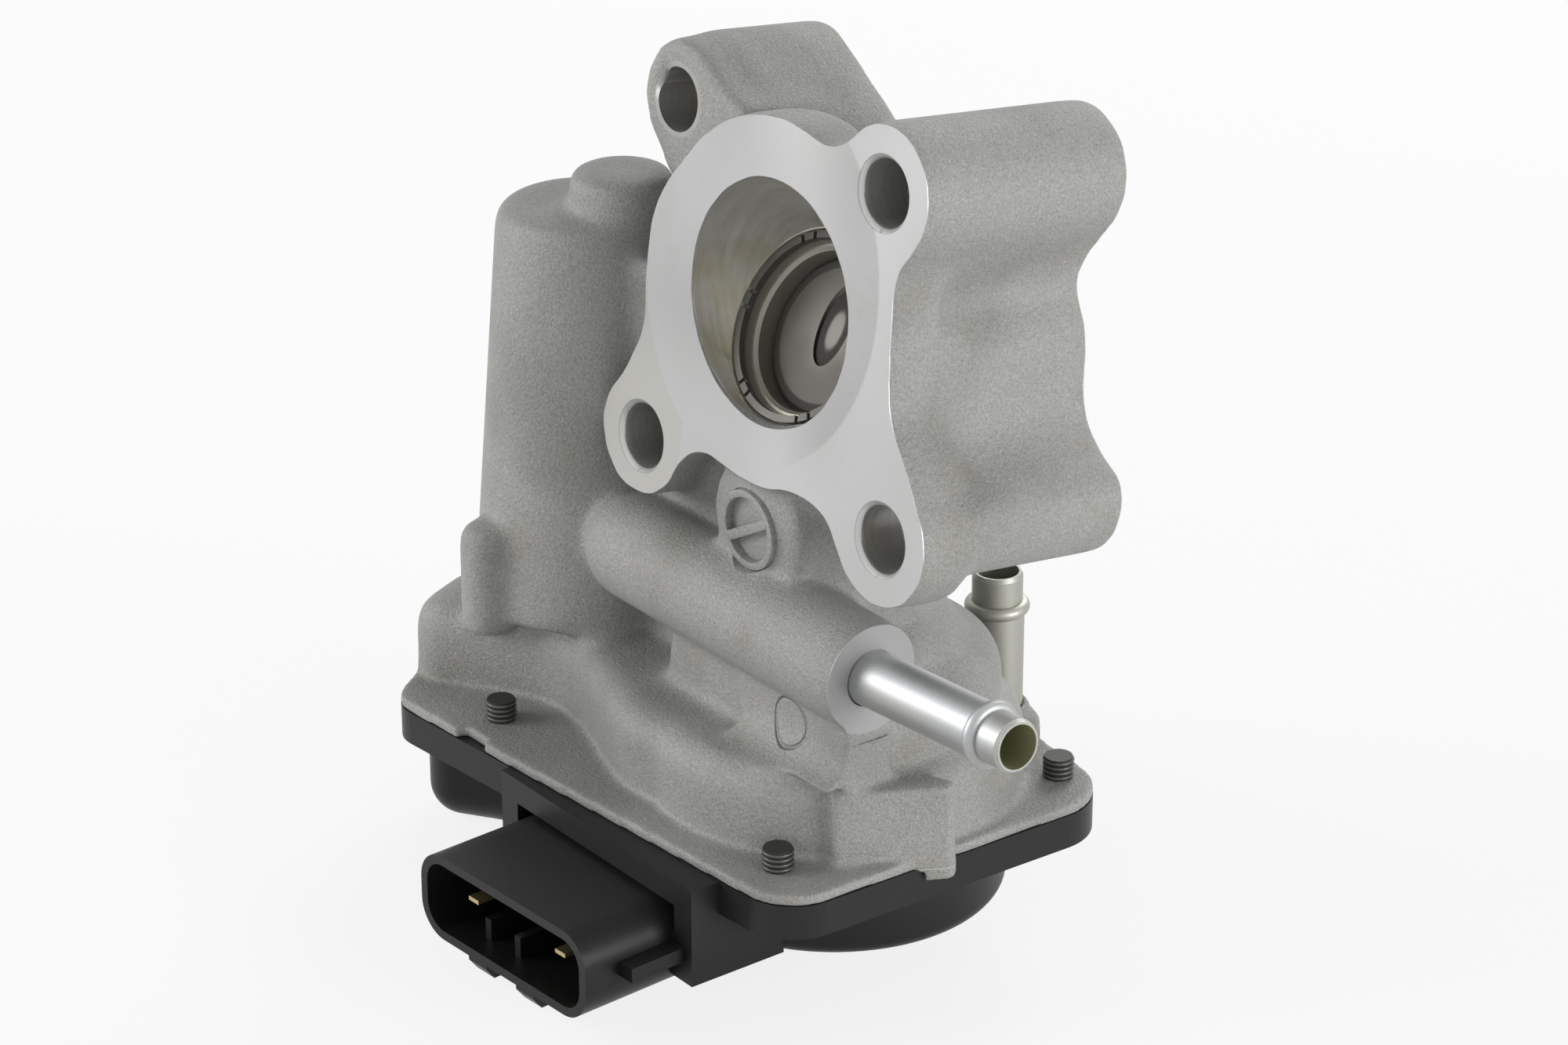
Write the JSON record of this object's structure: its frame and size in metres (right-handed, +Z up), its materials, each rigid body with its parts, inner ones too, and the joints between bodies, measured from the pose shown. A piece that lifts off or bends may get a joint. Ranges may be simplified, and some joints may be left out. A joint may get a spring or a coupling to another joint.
{
  "type": "electric EGR valve",
  "caption": "Electric EGR valve: cast aluminium body with flanged port and inclined butterfly disc, gear-driven by a motor under a plastic cover with connector and coolant pipes.",
  "frame": {"origin": "centre of the gas port on its front flange face", "axes": "+Z up along the valve shaft, -Y towards the front flange and the connector, +X towards the front coolant pipe"},
  "size_m": [0.1247, 0.088, 0.1286],
  "materials": {
    "cast_aluminium": "as-cast grey aluminium, machined on its mating faces",
    "nozzle_steel": "turned stainless steel",
    "disc_steel": "brushed stainless steel",
    "shaft_steel": "ground steel",
    "bronze": "sintered bronze",
    "seal_rubber": "black heat-proof rubber",
    "bearing_steel": "ground bearing steel",
    "gear_plastic": "natural moulded plastic",
    "magnet": "dark grey bonded magnet",
    "guide_plastic": "black moulded plastic",
    "spring_steel": "oiled spring steel",
    "motor_steel": "zinc-plated steel",
    "screw_steel": "dark phosphated steel",
    "pinion_brass": "cut brass",
    "cover_plastic": "black glass-filled plastic",
    "terminal_brass": "plated brass",
    "pipe_steel": "zinc and yellow passivated steel tube"
  },
  "bodies": {
    "housing": {"valve_housing": "cast_aluminium", "nozzle": "nozzle_steel", "nozzle_retainer": "nozzle_steel", "shaft_bush": "bronze", "shaft_seal": "seal_rubber", "bearing_outer_ring": "bearing_steel", "bearing_balls": "bearing_steel", "return_spring": "spring_steel", "idler_pin": "shaft_steel", "motor_can": "motor_steel", "motor_end_plate": "motor_steel", "motor_screws": "screw_steel", "motor_washer": "spring_steel", "gear_cover": "cover_plastic", "cover_gasket": "seal_rubber", "cover_screws": "screw_steel", "connector_terminals": "terminal_brass", "angle_sensor": "guide_plastic", "front_coolant_pipe": "pipe_steel", "rear_coolant_pipe": "pipe_steel"},
    "valve": {"valve_shaft": "shaft_steel", "valve_disc": "disc_steel", "disc_seal_ring": "disc_steel", "sector_gear": "gear_plastic", "sensor_magnets": "magnet", "spring_guide": "guide_plastic", "bearing_inner_ring": "bearing_steel"},
    "idler": {"idler_gear": "gear_plastic"},
    "rotor": {"motor_shaft": "shaft_steel", "motor_pinion": "pinion_brass"}
  },
  "joints": [
    {"name": "valve_turn", "type": "hinge", "parent": "housing", "child": "valve", "pos_m": [0, 0.0115, -0.006], "axis": [0, 0, 1], "range_deg": [0, 80], "stiffness_Nm_per_rad": 0.02, "springref_deg": -17.19},
    {"name": "idler_turn", "type": "hinge", "parent": "housing", "child": "idler", "pos_m": [-0.02854, 0.01238, -0.075], "axis": [0, 0, 1], "range_deg": [-246, 0]},
    {"name": "rotor_turn", "type": "hinge", "parent": "housing", "child": "rotor", "pos_m": [-0.0485, 0.004, -0.07], "axis": [0, 0, 1], "range_deg": [0, 584]}
  ],
  "couplings": [
    {"joint": "idler_turn", "follows": "valve_turn", "ratio": -3.0714},
    {"joint": "rotor_turn", "follows": "valve_turn", "ratio": 7.2946}
  ]
}
